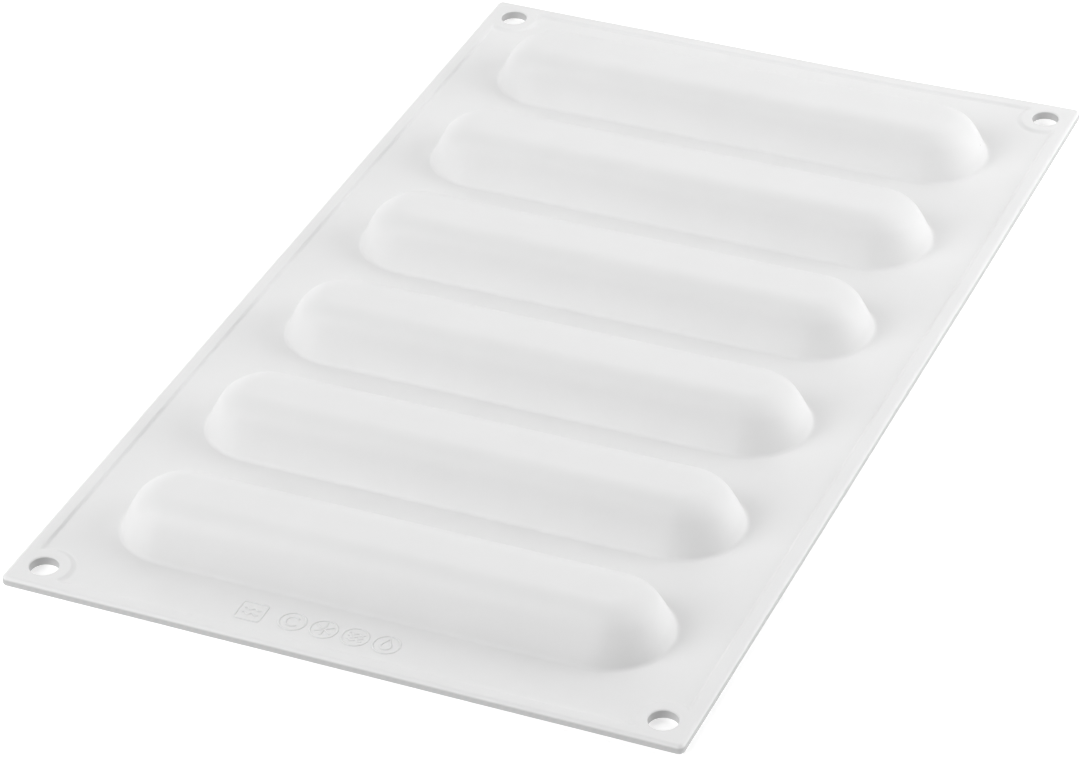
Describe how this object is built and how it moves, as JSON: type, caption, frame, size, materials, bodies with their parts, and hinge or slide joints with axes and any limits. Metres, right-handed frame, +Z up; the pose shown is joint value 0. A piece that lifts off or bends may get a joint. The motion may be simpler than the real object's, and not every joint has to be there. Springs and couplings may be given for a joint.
{
  "type": "silicone baguette tray",
  "caption": "Flexible silicone baking mould with loaf-shaped troughs in a thin rimmed sheet, with a hanging hole in each corner; it bends between the troughs.",
  "frame": {"origin": "middle of the flat underside, on the surface that the tray lies on, troughs upward", "axes": "+X along the troughs, +Y along the row of troughs from front to back, +Z up out of the trough backs"},
  "size_m": [0.175, 0.3, 0.014],
  "materials": {
    "silicone": "matt moulded platinum silicone, near white"
  },
  "bodies": {
    "strip_1": {"trough_1": "silicone", "web_1": "silicone", "rim_left_1": "silicone", "rim_right_1": "silicone", "rim_front": "silicone", "corner_eyelet_front_left": "silicone", "corner_eyelet_front_right": "silicone"},
    "strip_2": {"trough_2": "silicone", "web_2": "silicone", "rim_left_2": "silicone", "rim_right_2": "silicone"},
    "strip_3": {"trough_3": "silicone", "web_3": "silicone", "rim_left_3": "silicone", "rim_right_3": "silicone"},
    "strip_4": {"trough_4": "silicone", "web_4": "silicone", "rim_left_4": "silicone", "rim_right_4": "silicone"},
    "strip_5": {"trough_5": "silicone", "web_5": "silicone", "rim_left_5": "silicone", "rim_right_5": "silicone"},
    "strip_6": {"trough_6": "silicone", "web_6": "silicone", "rim_left_6": "silicone", "rim_right_6": "silicone", "rim_back": "silicone", "corner_eyelet_back_left": "silicone", "corner_eyelet_back_right": "silicone"}
  },
  "joints": [
    {"name": "web_bend_2_3", "type": "hinge", "parent": "strip_3", "child": "strip_2", "pos_m": [0, -0.046, 0.00125], "axis": [-1, 0, 0], "range_deg": [0, 45], "stiffness_Nm_per_rad": 0.033},
    {"name": "web_bend_1_2", "type": "hinge", "parent": "strip_2", "child": "strip_1", "pos_m": [0, -0.092, 0.00125], "axis": [-1, 0, 0], "range_deg": [0, 45], "stiffness_Nm_per_rad": 0.033},
    {"name": "web_bend_3_4", "type": "hinge", "parent": "strip_3", "child": "strip_4", "pos_m": [0, 0, 0.00125], "axis": [1, 0, 0], "range_deg": [0, 45], "stiffness_Nm_per_rad": 0.033},
    {"name": "web_bend_4_5", "type": "hinge", "parent": "strip_4", "child": "strip_5", "pos_m": [0, 0.046, 0.00125], "axis": [1, 0, 0], "range_deg": [0, 45], "stiffness_Nm_per_rad": 0.033},
    {"name": "web_bend_5_6", "type": "hinge", "parent": "strip_5", "child": "strip_6", "pos_m": [0, 0.092, 0.00125], "axis": [1, 0, 0], "range_deg": [0, 45], "stiffness_Nm_per_rad": 0.033}
  ]
}
